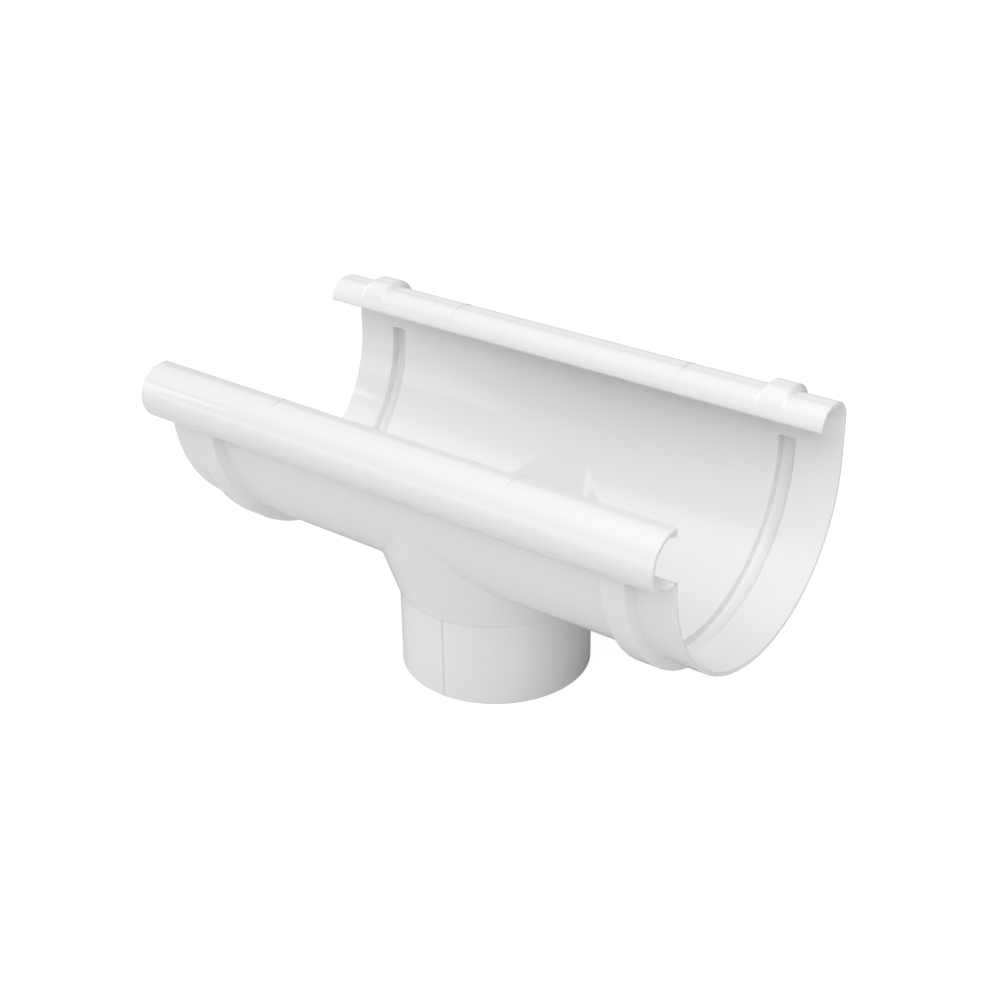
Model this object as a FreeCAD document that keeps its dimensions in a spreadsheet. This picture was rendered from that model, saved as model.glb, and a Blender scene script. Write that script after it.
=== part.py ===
import FreeCAD, Part
import math
import os
import re
import Sketcher
from FreeCAD import Vector

# A running outlet for a half-round plastic rainwater gutter, moulded in one piece. X runs along the
# gutter, +Y points to the wall of the building and Z is up. The origin is the centre of the spigot's
# lower rim. The gutter's section is drawn about the trough's own axis, which lies axis_height above.

# Driving dimensions in millimetres and degrees, each with what it measures
DRIVING = [
    ("body_length", 272.0, "length along the gutter"),
    ("trough_radius", 64.2, "inside radius of the trough"),
    ("trough_wall", 1.8, "wall of the trough"),
    ("bead_radius", 12.7, "outside radius of the front bead"),
    ("bead_wall", 2.05, "wall of the front bead"),
    ("bead_reach", 5.6, "bead's centre in front of the trough's inner wall"),
    ("bead_lift", 11.15, "bead's centre above the trough axis"),
    ("lip_setback", 1.75, "bead's lip in front of the trough's inner wall"),
    ("lip_depth", 3.7, "height of the bead's turned-down lip"),
    ("lip_width", 1.6, "flat under the bead's lip"),
    ("lip_slope", 3.0, "slope from the lip's flat to the bead's inside"),
    ("ridge_lift", 1.2, "ridge on the front wall above the trough axis"),
    ("ridge_rise", 2.3, "slope from the trough's inside up to the ridge"),
    ("ridge_width", 1.0, "flat top of the ridge"),
    ("ridge_fall", 0.8, "slope from the ridge down to the bead's floor"),
    ("hook_width", 22.0, "width of the rear hook over its outside"),
    ("hook_rise", 30.0, "top of the rear hook above the trough axis"),
    ("hook_corner", 8.6, "outside radius of the rear hook's front corner"),
    ("hook_bend", 10.0, "outside radius of the bend from the rear wall into the hook"),
    ("hook_wall", 2.4, "wall of the rear hook"),
    ("hook_lip", 19.9, "lower edge of the hook's lip above the trough axis"),
    ("seat_setback", 21.7, "outer side of the seal seat from the end of the gutter"),
    ("seat_width", 8.1, "width of the seal seat"),
    ("seat_depth", 4.0, "depth of the seal seat below the trough's inside"),
    ("seat_end_angle", 4.1, "rear end of the seal seat above the trough axis"),
    ("seat_wall", 2.2, "wall of the outside band under the seal seat"),
    ("band_margin_in", 1.2, "band's flat top past the seal seat's inner side"),
    ("band_margin_out", 1.7, "band's flat top past the seal seat's outer side"),
    ("band_flank", 2.0, "run of each sloping side of the band"),
    ("collar_rise", 2.3, "height of the band over the top of the hook"),
    ("collar_back", 3.9, "height of the band behind the hook"),
    ("collar_gain", 1.9, "how much rounder the band's corners are than the hook's"),
    ("collar_tuck", 0.2, "band's front behind the hook's front"),
    ("spigot_radius", 44.15, "outside radius of the spigot"),
    ("spigot_wall", 2.15, "wall of the spigot"),
    ("spigot_length", 40.8, "spigot below the hopper's shoulder"),
    ("shoulder_step", 1.1, "shoulder that the downpipe stops against"),
    ("hopper_drop", 6.5, "trough's underside above the hopper's shoulder"),
    ("hopper_offset", 4.1, "hopper's join with the trough below the place where it would be tangent"),
    ("hopper_overrun", 3.6, "how far the hopper's cone runs on into the trough's wall"),
    ("hopper_wall", 2.1, "wall of the hopper, measured level"),
    ("mouth_round", 2.0, "rounding of the hole's edge inside the trough"),
    ("root_round", 2.5, "rounding where the hopper joins the trough outside"),
    ("band_round", 0.9, "rounding of the band's outer edges"),
    ("edge_bevel", 0.4, "bevel on the edges of the end faces, the spigot's rim and the shoulder"),
    ("line_right", 64.1, "fine moulding line across the bead and the hook, right of the middle"),
    ("line_left", 61.5, "fine moulding line across the bead and the hook, left of the middle"),
    ("line_width", 0.7, "width of the fine moulding line"),
    ("line_height", 0.2, "height of the moulding line at the top"),
    ("line_hook_fade", 0.2, "how much tighter the line's bends are than the hook's corners"),
    ("line_bead_fade", 1.2, "how much tighter the line's curve is than the bead's"),
    ("seam_angle", 84.7, "mould seam on the spigot, from +X towards the front"),
    ("seam_width", 0.7, "width of the mould seam"),
    ("seam_depth", 0.25, "depth of the mould seam"),
    ("cut_past", 1.0, "how far a cut runs past the face it opens"),
]

# Sizes worked out from the driving ones, written as formulas in the sheet
DERIVED = [
    ("trough_outer", "trough_radius + trough_wall"),
    ("axis_height", "spigot_length + hopper_drop + trough_outer"),
    ("mid_wall", "trough_radius + trough_wall / 2"),
    ("bead_centre", "trough_radius + bead_reach"),
    ("bead_inner", "bead_radius - bead_wall"),
    ("bead_root", "bead_lift - sqrt(bead_radius^2 - (bead_centre - mid_wall)^2)"),
    ("root_bottom", "bead_root - trough_wall / 2"),
    ("lip_front", "trough_radius + lip_setback"),
    ("bead_top", "bead_lift + bead_radius"),
    ("lip_bottom", "bead_top - lip_depth"),
    ("lip_flat_end", "lip_front + lip_width"),
    ("lip_foot", "lip_flat_end + lip_slope"),
    ("lip_foot_top", "bead_lift + sqrt(bead_inner^2 - (bead_centre - lip_foot)^2)"),
    ("ridge_start", "trough_radius + ridge_rise"),
    ("ridge_end", "ridge_start + ridge_width"),
    ("ridge_foot", "ridge_end + ridge_fall"),
    ("ridge_floor", "bead_lift - sqrt(bead_inner^2 - (bead_centre - ridge_foot)^2)"),
    ("hook_front", "trough_outer - hook_width"),
    ("hook_inner_front", "hook_front + hook_wall"),
    ("hook_shoulder", "hook_rise - hook_corner"),
    ("hook_left", "hook_front + hook_corner"),
    ("bend_shoulder", "hook_rise - hook_bend"),
    ("bend_front", "trough_outer - hook_bend"),
    ("bend_inner", "hook_bend - hook_wall"),
    ("bend_inner_front", "trough_radius - bend_inner"),
    ("hook_ceiling", "hook_rise - hook_wall"),
    ("hook_lip_arc", "hook_lip + hook_wall / 2"),
    ("hook_middle", "hook_front + hook_wall / 2"),
    ("hook_crown", "hook_rise - hook_wall / 2"),
    ("seat_far", "body_length / 2 - seat_setback"),
    ("seat_near", "seat_far - seat_width"),
    ("band_near", "seat_near - band_margin_in"),
    ("band_far", "seat_far + band_margin_out"),
    ("band_height", "seat_depth + seat_wall - trough_wall"),
    ("band_outer", "trough_outer + band_height"),
    ("band_start", "trough_wall / 2"),
    ("band_sink", "trough_wall / 4"),
    ("band_foot_run", "band_flank * (band_height + band_sink) / band_height"),
    ("band_foot_outer", "trough_outer - band_sink"),
    ("collar_corner", "hook_corner + collar_gain"),
    ("collar_bend", "hook_bend + collar_gain"),
    ("collar_top", "hook_rise + collar_rise"),
    ("collar_outer", "trough_outer + collar_back"),
    ("collar_shoulder", "collar_top - collar_corner"),
    ("collar_nape", "collar_top - collar_bend"),
    ("collar_right", "collar_outer - collar_bend"),
    ("collar_front", "hook_front + collar_tuck"),
    ("collar_left", "collar_front + collar_corner"),
    ("collar_reach", "sqrt(collar_right^2 + collar_nape^2)"),
    ("lean_cos", "(band_outer - collar_bend) / collar_reach"),
    ("lean_sin", "sqrt(1 - lean_cos^2)"),
    ("lean_across", "(collar_right * lean_cos + collar_nape * lean_sin) / collar_reach"),
    ("lean_up", "(collar_nape * lean_cos - collar_right * lean_sin) / collar_reach"),
    ("foot_top", "hook_rise - band_sink"),
    ("foot_front", "hook_front + band_sink"),
    ("seat_outer", "trough_radius + seat_depth"),
    ("seat_inner", "trough_radius - cut_past"),
    ("bore_radius", "spigot_radius - spigot_wall"),
    ("shoulder_radius", "spigot_radius + shoulder_step"),
    ("shoulder_reach", "sqrt(shoulder_radius^2 + (hopper_drop + trough_outer)^2)"),
    ("tangent_angle", "acos(shoulder_radius / shoulder_reach) - acos(trough_outer / shoulder_reach)"),
    ("join_angle", "tangent_angle + hopper_offset * 1 deg"),
    ("join_height", "axis_height - trough_outer * sin(join_angle)"),
    ("hopper_slope", "(trough_outer * cos(join_angle) - shoulder_radius) / (join_height - spigot_length)"),
    ("hopper_top", "join_height + hopper_overrun"),
    ("hopper_top_radius", "shoulder_radius + hopper_slope * (hopper_top - spigot_length)"),
    ("hopper_top_inner", "hopper_top_radius - hopper_wall"),
    ("throat_height", "spigot_length - (shoulder_radius - hopper_wall - bore_radius) / hopper_slope"),
    ("line_top", "hook_rise + line_height"),
    ("line_corner", "hook_corner - line_hook_fade"),
    ("line_shoulder", "line_top - line_corner"),
    ("line_front", "hook_left - line_corner"),
    ("line_bend", "hook_bend - line_hook_fade"),
    ("line_bend_shoulder", "line_top - line_bend"),
    ("line_back", "bend_front + line_bend"),
    ("bend_middle", "trough_outer - hook_wall / 2"),
    ("bead_middle", "bead_radius - bead_wall / 2"),
    ("line_rise", "line_height + line_bead_fade"),
    ("line_bead", "bead_radius - line_bead_fade"),
    ("line_bead_lift", "bead_lift + line_rise"),
    ("line_drop", "(line_rise^2 + bead_middle^2 - line_bead^2) / (2 * line_rise)"),
    ("line_bead_end", "bead_lift + line_drop"),
    ("line_bead_front", "bead_centre + sqrt(bead_middle^2 - line_drop^2)"),
    ("line_bead_top", "bead_top + line_height"),
    ("bead_crown", "bead_lift + bead_middle"),
]

# How many points of an edge are tested when edges are picked, and how near in mm they have to lie
EDGE_PROBES = 9
EDGE_NEARNESS = 0.02

# The way back of the band's section, hidden half-way inside the hook and the trough wall
BAND_RETURN = [
    ("hook_middle", "hook_shoulder", "hook_left", "hook_shoulder", -1),
    ("hook_left", "hook_crown"),
    ("bend_front", "hook_crown", "bend_front", "bend_shoulder", -1),
    ("bend_middle", "bend_shoulder"),
    ("mid_wall", "0", "0", "0", -1),
    ("-sqrt(mid_wall^2 - band_start^2)", "-band_start"),
]

doc = FreeCAD.newDocument("gutter_outlet")
sheet = doc.addObject("Spreadsheet::Sheet", "sizes")


def fill_sheet():
    """Write every size into its own named cell: driving ones as plain numbers, the others as formulas."""
    row = 1
    for alias, value, meaning in DRIVING:
        sheet.set("A%d" % row, meaning)
        sheet.set("B%d" % row, str(value))
        sheet.setAlias("B%d" % row, alias)
        row += 1
    for alias, formula in DERIVED:
        sheet.set("A%d" % row, alias.replace("_", " "))
        sheet.set("B%d" % row, "=" + formula)
        sheet.setAlias("B%d" % row, alias)
        row += 1
    doc.recompute()


def size(alias):
    """The present value of one named cell."""
    return float(sheet.get(alias))


def bound(formula):
    """The same formula with each cell name, which has an underscore in it, made to point into the sheet."""
    return re.sub(r"[a-z]+(?:_[a-z]+)+", lambda name: "sizes." + name.group(0), formula)


def origin_plane(body, role):
    """One of the body's own origin planes."""
    return next(item for item in body.Origin.OriginFeatures if item.Role == role)


def start_sketch(body, name, role, up="0", out="0"):
    """A sketch on an origin plane, moved up in the plane and out along its normal."""
    sketch = body.newObject("Sketcher::SketchObject", name)
    sketch.AttachmentSupport = [(origin_plane(body, role), "")]
    sketch.MapMode = "FlatFace"
    if up != "0":
        sketch.setExpression(".AttachmentOffset.Base.y", bound(up))
    if out != "0":
        sketch.setExpression(".AttachmentOffset.Base.z", bound(out))
    return sketch


def arc_between(start, end, centre, turn):
    """An arc about centre; turn is +1 for counter-clockwise from start to end, -1 for clockwise."""
    first, last = (start, end) if turn > 0 else (end, start)
    circle = Part.Circle(centre, Vector(0, 0, 1), (start - centre).Length)
    return Part.ArcOfCircle(circle, *[math.atan2(p.y - centre.y, p.x - centre.x) for p in (first, last)])


def hold(sketch, element, point, axis, formula):
    """Fix one coordinate of a point: on the sketch's own axis for 0, else at a bound distance."""
    if formula == "0":
        across = -2 if axis == "DistanceX" else -1
        sketch.addConstraint(Sketcher.Constraint("PointOnObject", element, point, across))
        return
    value = float(sketch.evalExpression(bound(formula)))
    index = sketch.addConstraint(Sketcher.Constraint(axis, -1, 1, element, point, value))
    sketch.setExpression("Constraints[%d]" % index, bound(formula))


def draw_outline(sketch, corners):
    """Draw a closed outline. Each corner is (across, up) for a line to the next corner, or
    (across, up, centre across, centre up, turn) for an arc to it."""
    spots = [Vector(*[float(sketch.evalExpression(bound(f))) for f in corner[:2]], 0) for corner in corners]
    ends = []
    for index, corner in enumerate(corners):
        start = spots[index]
        end = spots[(index + 1) % len(corners)]
        if len(corner) == 2:
            sketch.addGeometry(Part.LineSegment(start, end))
            ends.append((1, 2))
        else:
            centre = Vector(*[float(sketch.evalExpression(bound(f))) for f in corner[2:4]], 0)
            sketch.addGeometry(arc_between(start, end, centre, corner[4]))
            ends.append((1, 2) if corner[4] > 0 else (2, 1))
    for index, corner in enumerate(corners):
        after = (index + 1) % len(corners)
        join = Sketcher.Constraint("Coincident", index, ends[index][1], after, ends[after][0])
        sketch.addConstraint(join)
        hold(sketch, index, ends[index][0], "DistanceX", corner[0])
        hold(sketch, index, ends[index][0], "DistanceY", corner[1])
    for index, corner in enumerate(corners):
        if len(corner) == 5:
            step = spots[(index + 1) % len(corners)] - spots[index]
            level = abs(step.x) >= abs(step.y)
            axis, formula = ("DistanceY", corner[3]) if level else ("DistanceX", corner[2])
            hold(sketch, index, 3, axis, formula)
    if sketch.solve() != 0:
        raise ValueError("the outline %s can't be solved" % sketch.Name)


def negative(formula):
    """The same formula on the front side, where Y is negative."""
    return "-(%s)" % formula


def pad_along(body, name, sketch, length):
    """Extrude a section along the gutter, to both sides of the sketch."""
    pad = body.newObject("PartDesign::Pad", name)
    pad.Profile = sketch
    pad.SideType = "Symmetric"
    pad.setExpression("Length", bound(length))
    return pad


def cut_along(body, name, sketch, length):
    """Cut a section along the gutter, to both sides of the sketch."""
    pocket = body.newObject("PartDesign::Pocket", name)
    pocket.Profile = sketch
    pocket.SideType = "Symmetric"
    pocket.setExpression("Length", bound(length))
    return pocket


def mirror_ends(body, name, features):
    """Repeat features at the other end of the gutter."""
    mirror = body.newObject("PartDesign::Mirrored", name)
    mirror.Originals = features
    mirror.MirrorPlane = (origin_plane(body, "YZ_Plane"), [""])
    body.Tip = mirror
    doc.recompute()
    return mirror


def add_hopper(body):
    """The spigot, its shoulder and the hopper's cone, turned about Z and opened to the trough."""
    sketch = start_sketch(body, "hopper_profile", "XZ_Plane")
    draw_outline(sketch, [
        ("0", "0"),
        ("spigot_radius", "0"),
        ("spigot_radius", "spigot_length"),
        ("shoulder_radius", "spigot_length"),
        ("hopper_top_radius", "hopper_top"),
        ("0", "hopper_top"),
    ])
    hopper = body.newObject("PartDesign::Revolution", "hopper")
    hopper.Profile = sketch
    hopper.ReferenceAxis = (sketch, ["V_Axis"])
    hopper.Angle = 360
    doc.recompute()
    room = start_sketch(body, "hopper_room", "YZ_Plane", up="axis_height")
    draw_outline(room, [
        (negative("mid_wall"), "0", "0", "0", 1),
        ("mid_wall", "0"),
    ])
    cut_along(body, "hopper_opening", room, "body_length")
    doc.recompute()


def add_trough(body):
    """The half-round trough with its rear wall, which rises into a hook that opens downwards."""
    sketch = start_sketch(body, "trough_section", "YZ_Plane", up="axis_height")
    draw_outline(sketch, [
        ("trough_outer", "0"),
        ("trough_outer", "bend_shoulder", "bend_front", "bend_shoulder", 1),
        ("bend_front", "hook_rise"),
        ("hook_left", "hook_rise", "hook_left", "hook_shoulder", 1),
        ("hook_front", "hook_shoulder"),
        ("hook_front", "hook_lip_arc", "hook_middle", "hook_lip_arc", 1),
        ("hook_inner_front", "hook_lip_arc"),
        ("hook_inner_front", "hook_shoulder", "hook_left", "hook_shoulder", -1),
        ("hook_left", "hook_ceiling"),
        ("bend_inner_front", "hook_ceiling", "bend_inner_front", "bend_shoulder", -1),
        ("trough_radius", "bend_shoulder"),
        ("trough_radius", "0", "0", "0", -1),
        (negative("trough_radius"), "0"),
        (negative("trough_outer"), "0", "0", "0", 1),
    ])
    pad_along(body, "trough", sketch, "body_length")
    doc.recompute()


def add_bead(body):
    """The front bead: a roll open towards the trough, with a ridge below its mouth and above it a lip
    whose top runs level from the roll's highest point."""
    sketch = start_sketch(body, "bead_section", "YZ_Plane", up="axis_height")
    centre = (negative("bead_centre"), "bead_lift")
    draw_outline(sketch, [
        (negative("trough_radius"), "0"),
        (negative("ridge_start"), "ridge_lift"),
        (negative("ridge_end"), "ridge_lift"),
        (negative("ridge_foot"), "ridge_floor") + centre + (-1,),
        (negative("lip_foot"), "lip_foot_top"),
        (negative("lip_flat_end"), "lip_bottom"),
        (negative("lip_front"), "lip_bottom"),
        (negative("lip_front"), "bead_top"),
        (negative("bead_centre"), "bead_top") + centre + (1,),
        (negative("mid_wall"), "bead_root"),
        (negative("mid_wall"), "root_bottom"),
        (negative("trough_radius"), "root_bottom"),
    ])
    pad_along(body, "front_bead", sketch, "body_length")
    doc.recompute()


def band_top_section(sketch):
    """The band's section at its full height: round the trough, up the rear wall, over the hook."""
    draw_outline(sketch, [
        (negative("sqrt(band_outer^2 - band_start^2)"), "-band_start", "0", "0", 1),
        ("band_outer * lean_across", "band_outer * lean_up"),
        ("collar_right + collar_bend * lean_across", "collar_nape + collar_bend * lean_up",
         "collar_right", "collar_nape", 1),
        ("collar_right", "collar_top"),
        ("collar_left", "collar_top", "collar_left", "collar_shoulder", 1),
        ("collar_front", "collar_shoulder"),
    ] + BAND_RETURN)


def band_foot_section(sketch):
    """The band's section at its foot, sunk a little below the outside of the walls."""
    draw_outline(sketch, [
        (negative("sqrt(band_foot_outer^2 - band_start^2)"), "-band_start", "0", "0", 1),
        ("band_foot_outer", "0"),
        ("band_foot_outer", "bend_shoulder", "bend_front", "bend_shoulder", 1),
        ("bend_front", "foot_top"),
        ("hook_left", "foot_top", "hook_left", "hook_shoulder", 1),
        ("foot_front", "hook_shoulder"),
    ] + BAND_RETURN)


def add_band(body):
    """The raised band that makes room for the seal seat, round the trough and over the hook."""
    places = [
        ("band_foot_in", band_foot_section, "band_near - band_foot_run"),
        ("band_top_in", band_top_section, "band_near"),
        ("band_top_out", band_top_section, "band_far"),
        ("band_foot_out", band_foot_section, "band_far + band_foot_run"),
    ]
    sections = []
    for name, draw_section, place in places:
        sketch = start_sketch(body, name, "YZ_Plane", up="axis_height", out=place)
        draw_section(sketch)
        sections.append(sketch)
    band = body.newObject("PartDesign::AdditiveLoft", "seal_band")
    band.Profile = sections[0]
    band.Sections = sections[1:]
    band.Ruled = True
    doc.recompute()
    return band


def add_seat(body):
    """The seat for the rubber seal, let into the trough's inside under the band."""
    middle = "(seat_near + seat_far) / 2"
    sketch = start_sketch(body, "seat_section", "YZ_Plane", up="axis_height", out=middle)
    side = "%s * cos(seat_end_angle)"
    rise = "%s * sin(seat_end_angle)"
    draw_outline(sketch, [
        (negative(side % "seat_outer"), negative(rise % "seat_outer"), "0", "0", 1),
        (side % "seat_outer", rise % "seat_outer"),
        (side % "seat_inner", rise % "seat_inner", "0", "0", -1),
        (negative(side % "seat_inner"), negative(rise % "seat_inner")),
    ])
    seat = cut_along(body, "seal_seat", sketch, "seat_width")
    doc.recompute()
    return seat


def add_bore(body):
    """The water's way down: the hopper's inside and the spigot's bore, cut through the trough."""
    sketch = start_sketch(body, "bore_profile", "XZ_Plane")
    draw_outline(sketch, [
        ("0", "-cut_past"),
        ("bore_radius", "-cut_past"),
        ("bore_radius", "throat_height"),
        ("hopper_top_inner", "hopper_top"),
        ("0", "hopper_top"),
    ])
    bore = body.newObject("PartDesign::Groove", "bore")
    bore.Profile = sketch
    bore.ReferenceAxis = (sketch, ["V_Axis"])
    bore.Angle = 360
    doc.recompute()


def add_lines(body, side, out):
    """A fine raised line that the mould's inserts leave across the bead and the hook. It stands on the
    outside, sinks into the sides further down and is closed inside the wall."""
    place = {"up": "axis_height", "out": out}
    over_hook = start_sketch(body, "hook_line_section_" + side, "YZ_Plane", **place)
    draw_outline(over_hook, [
        ("line_back", "line_bend_shoulder", "bend_front", "line_bend_shoulder", 1),
        ("bend_front", "line_top"),
        ("hook_left", "line_top", "hook_left", "line_shoulder", 1),
        ("line_front", "line_shoulder"),
        ("line_front", "hook_shoulder"),
        ("hook_middle", "hook_shoulder", "hook_left", "hook_shoulder", -1),
        ("hook_left", "hook_crown"),
        ("bend_front", "hook_crown", "bend_front", "bend_shoulder", -1),
        ("bend_middle", "bend_shoulder"),
        ("line_back", "bend_shoulder"),
    ])
    pad_along(body, "hook_line_" + side, over_hook, "line_width")
    doc.recompute()
    over_bead = start_sketch(body, "bead_line_section_" + side, "YZ_Plane", **place)
    middle = negative("bead_centre")
    draw_outline(over_bead, [
        (negative("lip_front"), "line_bead_top"),
        (middle, "line_bead_top", middle, "line_bead_lift", 1),
        (negative("line_bead_front"), "line_bead_end", middle, "bead_lift", -1),
        (middle, "bead_crown"),
        (negative("lip_front"), "bead_crown"),
    ])
    pad_along(body, "bead_line_" + side, over_bead, "line_width")
    doc.recompute()


def add_seam(body):
    """The fine line that the mould's halves leave down the spigot."""
    sketch = start_sketch(body, "seam_section", "XY_Plane")
    corners = []
    for depth, half in (("-seam_depth", -1), ("cut_past", -1), ("cut_past", 1), ("-seam_depth", 1)):
        out = "(spigot_radius + %s)" % depth
        side = "(%d * seam_width / 2)" % half
        corners.append((
            "%s * cos(seam_angle) + %s * sin(seam_angle)" % (out, side),
            "%s * cos(seam_angle) - %s * sin(seam_angle)" % (side, out),
        ))
    draw_outline(sketch, corners)
    seam = body.newObject("PartDesign::Pocket", "seam")
    seam.Profile = sketch
    seam.Reversed = True
    seam.setExpression("Length", bound("spigot_length"))
    doc.recompute()


def edges_where(feature, test):
    """Names of the edges whose points all pass the test, which gives a distance that has to be zero."""
    names = []
    for number, edge in enumerate(feature.Shape.Edges, 1):
        first, last = edge.FirstParameter, edge.LastParameter
        pitch = (last - first) / (EDGE_PROBES - 1)
        points = [edge.valueAt(first + pitch * probe) for probe in range(EDGE_PROBES)]
        if max(abs(test(point)) for point in points) < EDGE_NEARNESS:
            names.append("Edge%d" % number)
    return names


def round_edges(body, name, radius, test):
    """Round the edges that pass the test."""
    feature = body.Tip
    fillet = body.newObject("PartDesign::Fillet", name)
    fillet.Base = (feature, edges_where(feature, test))
    fillet.setExpression("Radius", bound(radius))
    doc.recompute()


def bevel_edges(body, name, width, test):
    """Bevel the edges that pass the test."""
    feature = body.Tip
    chamfer = body.newObject("PartDesign::Chamfer", name)
    chamfer.Base = (feature, edges_where(feature, test))
    chamfer.setExpression("Size", bound(width))
    doc.recompute()


def from_trough_axis(point):
    """Distance of a point from the trough's axis."""
    return math.hypot(point.y, point.z - size("axis_height"))


def from_spigot_axis(point):
    """Distance of a point from the spigot's axis."""
    return math.hypot(point.x, point.y)


def on_root(point):
    """Zero where the hopper's outside meets the trough's outside."""
    slope = size("shoulder_radius") + size("hopper_slope") * (point.z - size("spigot_length"))
    return abs(from_trough_axis(point) - size("trough_outer")) + abs(from_spigot_axis(point) - slope)


def on_mouth(point):
    """Zero where the hopper's inside meets the trough's inside."""
    slope = size("bore_radius") + size("hopper_slope") * (point.z - size("throat_height"))
    return abs(from_trough_axis(point) - size("trough_radius")) + abs(from_spigot_axis(point) - slope)


def on_rim(point):
    """Zero on the end faces, on the spigot's lower rim and on the shoulder's outer edge."""
    end = abs(abs(point.x) - size("body_length") / 2)
    rim = abs(point.z)
    shoulder = abs(point.z - size("spigot_length")) + abs(from_spigot_axis(point) - size("shoulder_radius"))
    return min(end, rim, shoulder)


def on_band_edge(point):
    """Zero on the long outer edges of the bands."""
    return min(abs(abs(point.x) - size("band_near")), abs(abs(point.x) - size("band_far")))


fill_sheet()
outlet = doc.addObject("PartDesign::Body", "outlet")
outlet.Label = "outlet_body"
add_hopper(outlet)
add_trough(outlet)
add_bead(outlet)
band_feature = add_band(outlet)
add_bore(outlet)
seat_feature = add_seat(outlet)
mirror_ends(outlet, "other_end", [band_feature, seat_feature])
add_lines(outlet, "right", "line_right")
add_lines(outlet, "left", "-line_left")
round_edges(outlet, "root_rounding", "root_round", on_root)
round_edges(outlet, "mouth_rounding", "mouth_round", on_mouth)
round_edges(outlet, "band_rounding", "band_round", on_band_edge)
bevel_edges(outlet, "rim_bevel", "edge_bevel", on_rim)
add_seam(outlet)
outlet.Placement = FreeCAD.Placement()
doc.recompute()

for item in doc.Objects:
    if "Invalid" in item.State or "Error" in item.State:
        raise ValueError("%s is in state %s" % (item.Name, item.State))
shape = outlet.Shape
if shape.isNull() or not shape.isValid() or len(shape.Solids) != 1:
    raise ValueError("the outlet's shape isn't one valid solid")
os.makedirs("parts", exist_ok=True)
shape.exportStep("parts/outlet_body.step")
print("outlet_body has", len(shape.Faces), "faces")
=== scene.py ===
# %% [markdown]
# This lesson dresses a gutter outlet: the fitting in a line of plastic gutter through which the rain
# drops into the downpipe. The real one is a single injection moulding in rigid white PVC, so its shape
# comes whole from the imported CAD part. What is left for Blender is the plastic itself, the studio and
# the camera.

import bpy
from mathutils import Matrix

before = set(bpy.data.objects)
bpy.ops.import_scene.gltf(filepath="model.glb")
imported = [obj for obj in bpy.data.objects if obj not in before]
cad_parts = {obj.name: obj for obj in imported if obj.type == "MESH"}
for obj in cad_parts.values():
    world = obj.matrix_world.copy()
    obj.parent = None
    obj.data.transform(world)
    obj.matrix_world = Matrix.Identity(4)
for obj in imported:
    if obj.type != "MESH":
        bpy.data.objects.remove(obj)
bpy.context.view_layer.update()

# %% Modules and the moulding itself
import math

import bpy
from mathutils import Matrix, Vector

MM = 0.001
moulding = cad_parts["outlet_body"]
print("the moulding has", len(moulding.data.polygons), "faces")

# %% [markdown]
# Colours are written the way a paint chart or a picture editor gives them, as sRGB hex values. Cycles
# adds light in linear numbers, so one function turns the hex value into those.

# %% Colour from a hex value
def linear(hex_value):
    """Linear red, green, blue and alpha of an sRGB hex colour."""
    channels = [int(hex_value[place:place + 2], 16) / 255 for place in (1, 3, 5)]
    bent = [c / 12.92 if c <= 0.04045 else ((c + 0.055) / 1.055) ** 2.4 for c in channels]
    return (*bent, 1.0)


print("mid grey is", [round(c, 3) for c in linear("#808080")])

# %% [markdown]
# A material is a small net of nodes. One helper adds a node, fills in its settings and plugs in what
# feeds it, so that each material below reads as a list of what it is made of.

# %% Node helper
def add_node(tree, kind, settings=None, values=None, links=None):
    """A new node: settings are its properties, values its socket constants, links what feeds a socket."""
    node = tree.nodes.new(kind)
    for name, value in (settings or {}).items():
        setattr(node, name, value)
    for socket, value in (values or {}).items():
        node.inputs[socket].default_value = value
    for socket, source in (links or {}).items():
        tree.links.new(source, node.inputs[socket])
    return node


def new_material(name):
    """An empty node material and its tree."""
    material = bpy.data.materials.new(name)
    material.use_nodes = True
    material.node_tree.nodes.clear()
    return material, material.node_tree


# %% [markdown]
# The plastic is unplasticised PVC, whitened with titanium dioxide and injected into a polished steel
# mould. The eye reads four things from that: a clean neutral white, a hard gloss with
# sharp reflections, a very long soft waviness where the walls shrank unevenly as they cooled, and
# edges that are never quite sharp, because the melt doesn't fill a corner to the point. PVC's index of
# refraction is about 1.53. A well polished mould gives a roughness well below 0.1.
#
# The waviness is a noise bump. Its waves are 15 mm apart and two hundredths of a millimetre deep, given
# for such a wall. A second, far finer noise is the mould's own grain. The soft edges come from
# the Bevel node, which bends the normals near an edge over a real radius, here 0.4 mm, without touching
# the mesh.

# %% Moulded white PVC
WAVE_SPACING = 15 * MM
WAVE_DEPTH = 0.02 * MM
GRAIN_SPACING = 0.9 * MM
GRAIN_DEPTH = 0.0006 * MM
EDGE_RADIUS = 0.4 * MM
PVC_WHITE = "#F1F1F1"
PVC_GLOSS = 0.06


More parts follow.
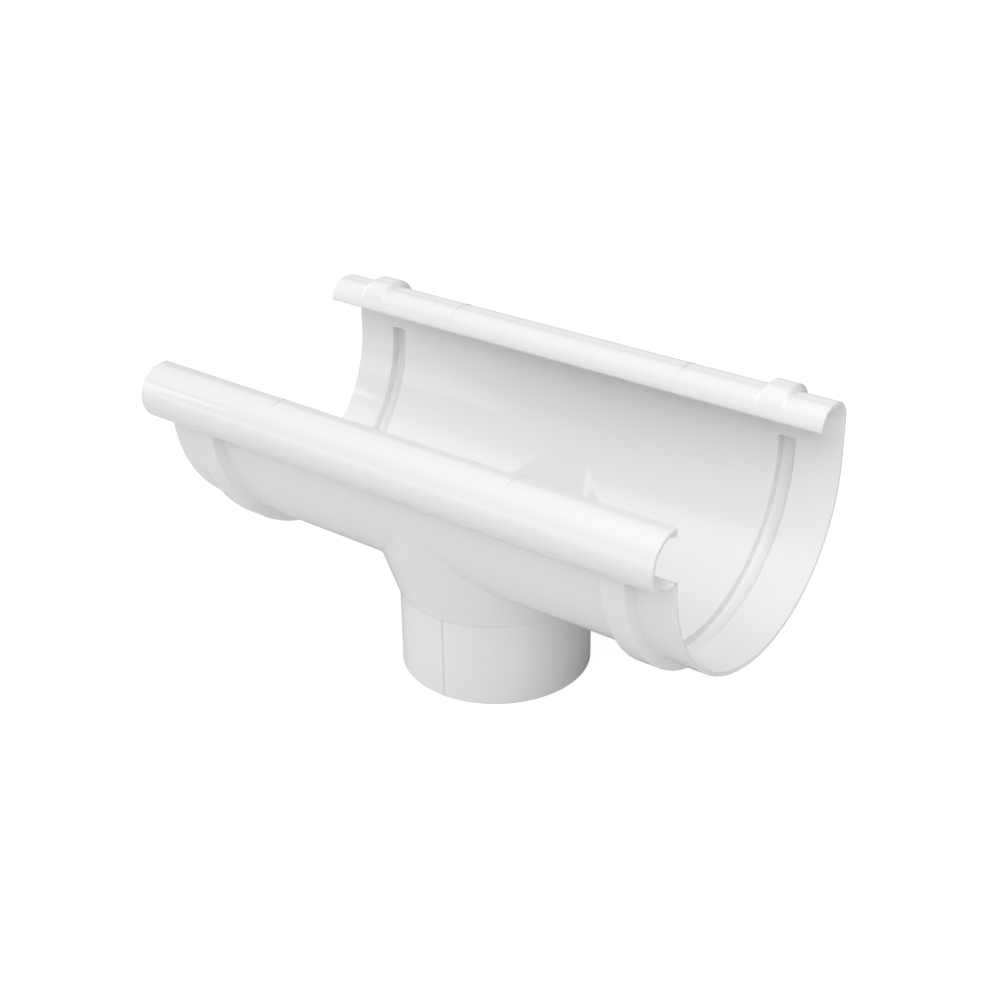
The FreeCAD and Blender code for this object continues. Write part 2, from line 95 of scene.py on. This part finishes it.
def moulded_white_pvc():
    """Rigid white PVC from a polished mould."""
    material, tree = new_material("white_pvc_polished_moulding")
    place = add_node(tree, "ShaderNodeTexCoord").outputs["Object"]
    soft_edge = add_node(tree, "ShaderNodeBevel", {"samples": 4}, {"Radius": EDGE_RADIUS})
    wave = add_node(tree, "ShaderNodeTexNoise", values={"Scale": 1 / WAVE_SPACING, "Detail": 1.0},
                    links={"Vector": place})
    waved = add_node(tree, "ShaderNodeBump", values={"Strength": 1.0, "Distance": WAVE_DEPTH},
                     links={"Height": wave.outputs["Fac"], "Normal": soft_edge.outputs["Normal"]})
    grain = add_node(tree, "ShaderNodeTexNoise", values={"Scale": 1 / GRAIN_SPACING, "Detail": 2.0},
                     links={"Vector": place})
    grained = add_node(tree, "ShaderNodeBump", values={"Strength": 1.0, "Distance": GRAIN_DEPTH},
                       links={"Height": grain.outputs["Fac"], "Normal": waved.outputs["Normal"]})
    plastic = add_node(tree, "ShaderNodeBsdfPrincipled",
                       values={"Base Color": linear(PVC_WHITE), "Roughness": PVC_GLOSS, "IOR": 1.53},
                       links={"Normal": grained.outputs["Normal"]})
    add_node(tree, "ShaderNodeOutputMaterial", links={"Surface": plastic.outputs["BSDF"]})
    return material


for slot in moulding.material_slots:
    slot.material = moulded_white_pvc()
print("the moulding wears", [slot.material.name for slot in moulding.material_slots])

# %% [markdown]
# The outlet stands on its spigot on white backing paper, a plane that throws light up under it. Such
# paper reflects about 80% of the light. It ends about where the soft boxes stand, because the ground
# behind them gets little light and showed as a faint grey edge. In a product picture the page around
# the object is pure white. So the camera alone sees a second version of the paper: a glow just short of
# white, with a darker paper added to it. The darker paper is there to carry the shadow, but from the
# photographer's side the sum passes white in the shadow too, so the shadow doesn't show from there. The
# light thrown up at the object and the paper's reflections in the plastic come from the real paper.

# %% Floor
FLOOR_SIZE = 2.2
PAPER_WHITE = "#E7E7E7"
PAPER_SHADE = "#7F7F7F"
PAPER_GLOW = 0.92


def white_backing_paper():
    """Matt white paper that reads as the plain white of a page to the camera."""
    material, tree = new_material("matt_white_backing_paper")
    paper = add_node(tree, "ShaderNodeBsdfDiffuse", values={"Color": linear(PAPER_WHITE)})
    shade = add_node(tree, "ShaderNodeBsdfDiffuse", values={"Color": linear(PAPER_SHADE)})
    glow = add_node(tree, "ShaderNodeEmission", values={"Color": linear("#FFFFFF"), "Strength": PAPER_GLOW})
    page = add_node(tree, "ShaderNodeAddShader", links={
        0: shade.outputs["BSDF"], 1: glow.outputs["Emission"]})
    path = add_node(tree, "ShaderNodeLightPath")
    seen = add_node(tree, "ShaderNodeMixShader", links={
        0: path.outputs["Is Camera Ray"], 1: paper.outputs["BSDF"], 2: page.outputs["Shader"]})
    add_node(tree, "ShaderNodeOutputMaterial", links={"Surface": seen.outputs["Shader"]})
    return material


bpy.ops.mesh.primitive_plane_add(size=FLOOR_SIZE, location=(0, 0, 0))
floor = bpy.context.object
floor.name = "floor"
floor.data.materials.append(white_backing_paper())
print("the floor is", FLOOR_SIZE, "m wide")

# %% [markdown]
# Glossy white plastic is drawn by what it reflects, so product pictures of it are lit with soft boxes,
# large plain sheets of light. Here they stand as the sides of a tent about the table. Their levels were
# first fitted to the tones of the photograph and then set one by one. The bright one stands to the front.
# The one overhead and a long low one on the left are each about two thirds as bright. The right side
# and the rear get still less, and so the spigot falls off into grey on the right. A low strip at the
# front lights what faces forward and down. The last box hangs close above the gutter. It is weak, and
# stands for the sheet whose edges draw clean borders on the highlights along the bead and the hook of
# the real one. Here those borders come out much softer.
#
# A lamp's power in watts says little about how it looks. What the eye sees is its brightness, so each
# box is given as a multiple of a white page's, and the power follows from that and from its area.

# %% Soft boxes
SOFT_BOXES = {
    "front_box": {"middle": (0.5, -1.1, 1.15), "size": (1.4, 0.7), "facing": (0, 1, 0), "brightness": 2.8},
    "top_box": {"middle": (0.6, -0.55, 1.5), "size": (1.2, 1.1), "facing": (0, 0, -1), "brightness": 1.7},
    "left_box": {"middle": (-1.2, -0.2, 0.41), "size": (1.8, 0.78), "facing": (1, 0, 0), "brightness": 1.9},
    "right_box": {"middle": (1.2, -0.55, 0.92), "size": (1.1, 1.15), "facing": (-1, 0, 0), "brightness": 1.0},
    "rear_box": {"middle": (-0.7, 1.1, 0.41), "size": (1.0, 0.78), "facing": (0, -1, 0), "brightness": 0.65},
    "close_box": {"middle": (-0.1, 0.01, 0.4), "size": (1.6, 0.62), "facing": (0, 0, -1), "brightness": 0.5},
    "front_strip": {"middle": (0.0, -1.1, 0.18), "size": (2.4, 0.33), "facing": (0, 1, 0), "brightness": 1.0},
}


def soft_box(name, middle, size, facing, brightness):
    """A rectangular area lamp that the camera doesn't see, as bright as so many white pages."""
    lamp = bpy.data.lights.new(name, "AREA")
    lamp.shape = "RECTANGLE"
    lamp.size, lamp.size_y = size
    lamp.energy = math.pi * lamp.size * lamp.size_y * brightness
    box = bpy.data.objects.new(name, lamp)
    box.location = middle
    box.rotation_euler = Vector(facing).to_track_quat("-Z", "Y").to_euler()
    box.visible_camera = False
    bpy.context.scene.collection.objects.link(box)
    return box


for name, form in SOFT_BOXES.items():
    print(name, "has", round(soft_box(name, **form).data.energy, 1), "W")

# %% [markdown]
# The rest of the room is a dim even grey. Seen directly by the camera it is plain white, as the page
# behind a cut-out picture.

# %% Room
ROOM_GREY = "#565656"

world = bpy.data.worlds.new("studio_room")
world.use_nodes = True
room = world.node_tree
room.nodes.clear()
path = add_node(room, "ShaderNodeLightPath")
walls = add_node(room, "ShaderNodeBackground", values={"Color": linear(ROOM_GREY), "Strength": 1.0})
page = add_node(room, "ShaderNodeBackground", values={"Color": linear("#FFFFFF"), "Strength": 1.0})
chosen = add_node(room, "ShaderNodeMixShader", links={
    0: path.outputs["Is Camera Ray"], 1: walls.outputs["Background"], 2: page.outputs["Background"]})
add_node(room, "ShaderNodeOutputWorld", links={"Surface": chosen.outputs["Shader"]})
bpy.context.scene.world = world
bpy.context.scene.view_settings.view_transform = "Standard"
print("room set to", ROOM_GREY)

# %% [markdown]
# The camera stands where the photographer stood: to the front right and a little above. The angles
# and the distance were found from the round edges of the part in the photograph, whose shapes change
# with the point of view. The lens is a short telephoto, and the camera leans by less than a degree.
# The tiny shift is half a pixel of the picture, because the photo's edges were read at pixel centres.

# %% Camera
AZIMUTH = 37.961
ELEVATION = 26.956
LEAN = -0.678
DISTANCE = 739.736 * MM
LENS = 59.34
SHIFT = 0.0005
TARGET = Vector((3.267 * MM, 0.0, 81.121 * MM))


def photographers_camera():
    """A camera on a ray from the target, turned by azimuth and elevation and then leaned."""
    a, e, lean = (math.radians(angle) for angle in (AZIMUTH, ELEVATION, LEAN))
    back = Vector((math.sin(a) * math.cos(e), -math.cos(a) * math.cos(e), math.sin(e)))
    right = Vector((math.cos(a), math.sin(a), 0.0))
    up = back.cross(right)
    leaned_right = math.cos(lean) * right + math.sin(lean) * up
    leaned_up = math.cos(lean) * up - math.sin(lean) * right
    turn = Matrix((leaned_right, leaned_up, back)).transposed()
    camera = bpy.data.objects.new("camera", bpy.data.cameras.new("camera"))
    camera.data.lens = LENS
    camera.data.sensor_width = 36.0
    camera.data.clip_start = 0.05
    camera.data.shift_x, camera.data.shift_y = -SHIFT, SHIFT
    camera.location = TARGET + back * DISTANCE
    camera.rotation_euler = turn.to_euler()
    bpy.context.scene.collection.objects.link(camera)
    bpy.context.scene.camera = camera
    return camera


camera = photographers_camera()
print("camera at", [round(c, 3) for c in camera.location])
